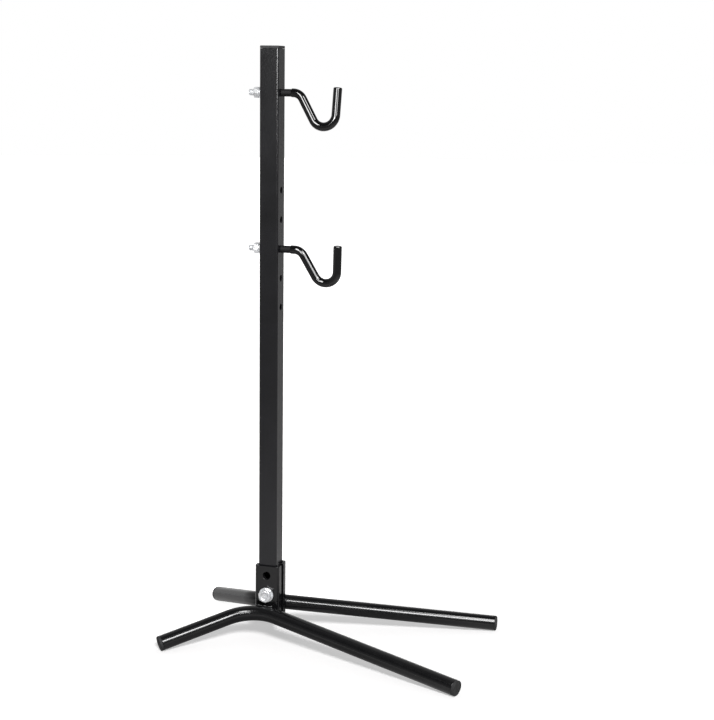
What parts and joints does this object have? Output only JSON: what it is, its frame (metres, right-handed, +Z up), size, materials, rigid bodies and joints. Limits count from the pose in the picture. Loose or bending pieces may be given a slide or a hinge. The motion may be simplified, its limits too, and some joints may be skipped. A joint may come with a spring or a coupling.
{
  "type": "bike display stand",
  "caption": "Upright bicycle stand: a drilled square post on splayed bent tube legs, with swivelling vinyl-coated cradle hooks that hold a frame's stays.",
  "frame": {"origin": "on the floor, at the middle of the rectangle that holds all four feet", "axes": "+Z up along the post, +X towards the long legs and the hooks' cradles, -Y towards the front with the bolt's head"},
  "size_m": [0.4174, 0.2546, 0.7871],
  "materials": {
    "powder_coated_steel": "satin black powder coat",
    "gloss_painted_steel": "gloss black",
    "black_plastic": "matte moulded",
    "black_vinyl": "gloss dipped",
    "zinc_plated_steel": "bright zinc plate"
  },
  "bodies": {
    "stand": {"post": "powder_coated_steel", "post_top_cap": "black_plastic", "front_bracket": "powder_coated_steel", "rear_bracket": "powder_coated_steel", "front_leg_tube": "gloss_painted_steel", "rear_leg_tube": "gloss_painted_steel", "front_right_foot_plug": "black_plastic", "front_left_foot_plug": "black_plastic", "rear_right_foot_plug": "black_plastic", "rear_left_foot_plug": "black_plastic", "base_bolt": "zinc_plated_steel", "base_bolt_washer": "zinc_plated_steel", "base_nut_washer": "zinc_plated_steel", "base_spring_washer": "zinc_plated_steel", "base_nut": "zinc_plated_steel"},
    "upper_hook": {"upper_hook_rod": "gloss_painted_steel", "upper_hook_sleeve": "black_vinyl", "upper_hook_washer": "zinc_plated_steel", "upper_hook_spring_washer": "zinc_plated_steel", "upper_hook_nut": "zinc_plated_steel"},
    "lower_hook": {"lower_hook_rod": "gloss_painted_steel", "lower_hook_sleeve": "black_vinyl", "lower_hook_washer": "zinc_plated_steel", "lower_hook_spring_washer": "zinc_plated_steel", "lower_hook_nut": "zinc_plated_steel"}
  },
  "joints": [
    {"name": "upper_hook_swivel", "type": "hinge", "parent": "stand", "child": "upper_hook", "pos_m": [-0.0834, 0, 0.7287], "axis": [1, 0, 0], "continuous": true},
    {"name": "lower_hook_swivel", "type": "hinge", "parent": "stand", "child": "lower_hook", "pos_m": [-0.0834, 0, 0.5292], "axis": [1, 0, 0], "continuous": true}
  ]
}
